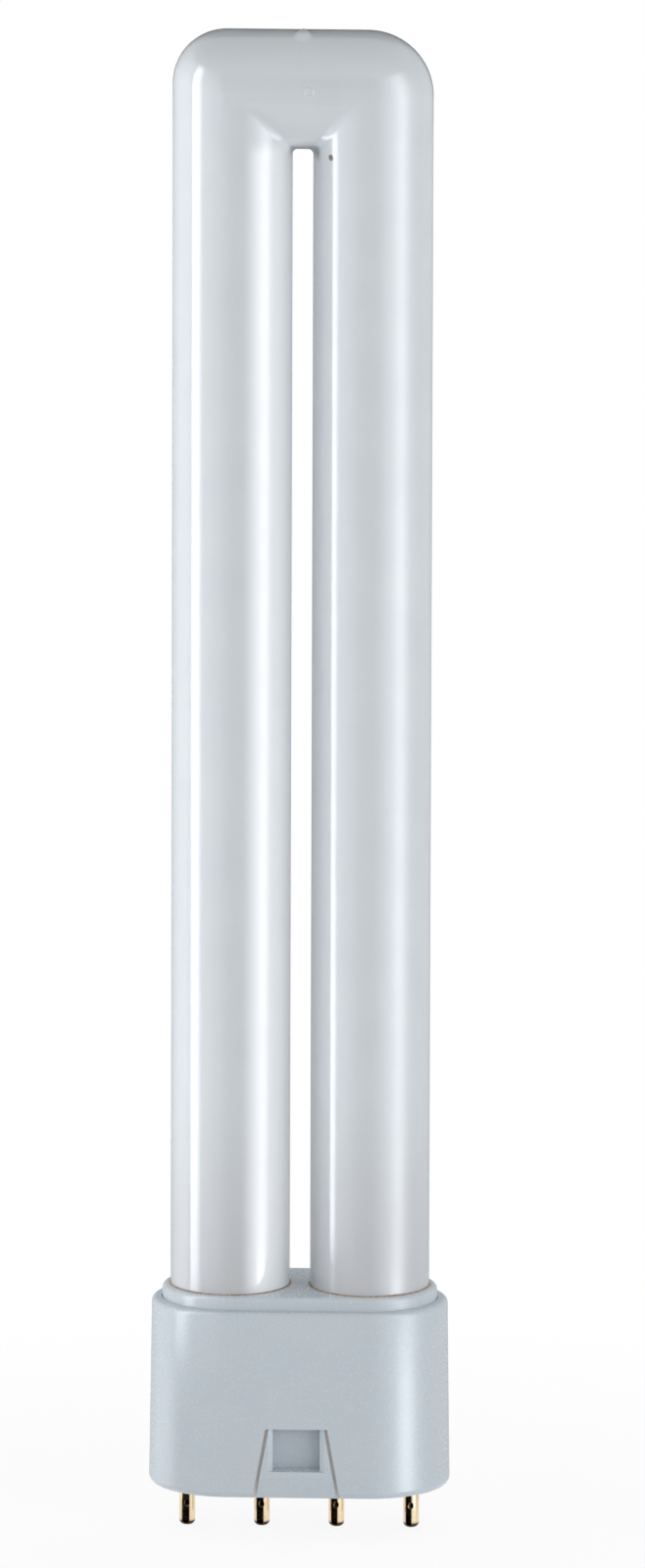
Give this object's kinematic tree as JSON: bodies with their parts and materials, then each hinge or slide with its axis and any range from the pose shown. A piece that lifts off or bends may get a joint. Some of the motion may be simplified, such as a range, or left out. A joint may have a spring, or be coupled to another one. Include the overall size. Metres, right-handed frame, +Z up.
{
  "type": "compact fluorescent bulb",
  "caption": "Plug-in compact fluorescent bulb: a long glass tube with two parallel legs and a squared bend, in a moulded cap with contact pins in a row and latch windows.",
  "frame": {"origin": "centre of the cap's seating face, from which the pins stand down", "axes": "+Z up the lamp to the bend of the glass, X along the row of pins, -Y out of the front latch window"},
  "size_m": [0.0442, 0.0242, 0.2242],
  "materials": {
    "coated_glass": "clear glass over a white phosphor coating, opaque and glossy",
    "cap_plastic": "satin light grey moulding",
    "basing_cement": "matte tan basing cement",
    "pin_brass": "drawn brass",
    "lead_wire": "plated wire"
  },
  "bodies": {
    "root": {"discharge_tube": "coated_glass", "cap_shell": "cap_plastic", "tube_holder": "cap_plastic", "cement_ring_left": "basing_cement", "cement_ring_right": "basing_cement", "contact_pin_1": "pin_brass", "contact_pin_2": "pin_brass", "contact_pin_3": "pin_brass", "contact_pin_4": "pin_brass", "lead_wire_1": "lead_wire", "lead_wire_2": "lead_wire", "lead_wire_3": "lead_wire", "lead_wire_4": "lead_wire"}
  },
  "joints": []
}
